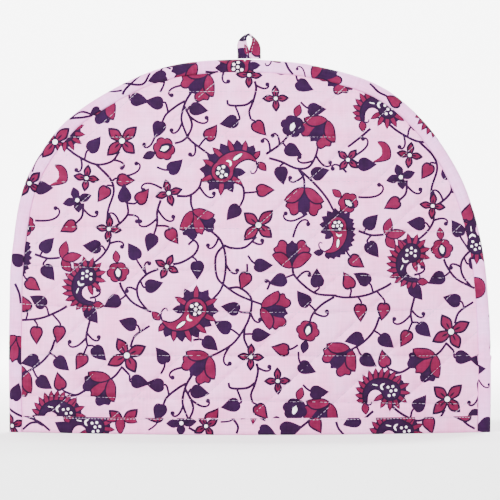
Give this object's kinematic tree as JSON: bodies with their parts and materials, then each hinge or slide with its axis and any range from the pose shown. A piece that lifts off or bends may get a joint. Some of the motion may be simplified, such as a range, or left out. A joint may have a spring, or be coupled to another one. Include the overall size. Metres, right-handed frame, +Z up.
{
  "type": "quilted dome tea cosy",
  "caption": "Dome-shaped tea cosy of two quilted floral cotton panels with bound edge and hems and a hanging loop, standing open on its hem.",
  "frame": {"origin": "on the floor under the middle of the hem", "axes": "+X to the right along the width, +Y from the front panel to the back panel, +Z up to the hanging loop"},
  "size_m": [0.3376, 0.1006, 0.2792],
  "materials": {
    "quilted_cotton": "plain-woven cotton with a printed floral pattern, quilted over wadding with white thread",
    "edge_cloth": "folded strip of the same printed cotton",
    "hem_cloth": "folded strip of the same printed cotton, topstitched in white",
    "loop_cloth": "narrow folded tape of the same printed cotton"
  },
  "bodies": {
    "root": {"front_panel": "quilted_cotton", "back_panel": "quilted_cotton", "edge_binding": "edge_cloth", "hem_binding_front": "hem_cloth", "hem_binding_back": "hem_cloth", "hang_loop": "loop_cloth"}
  },
  "joints": []
}
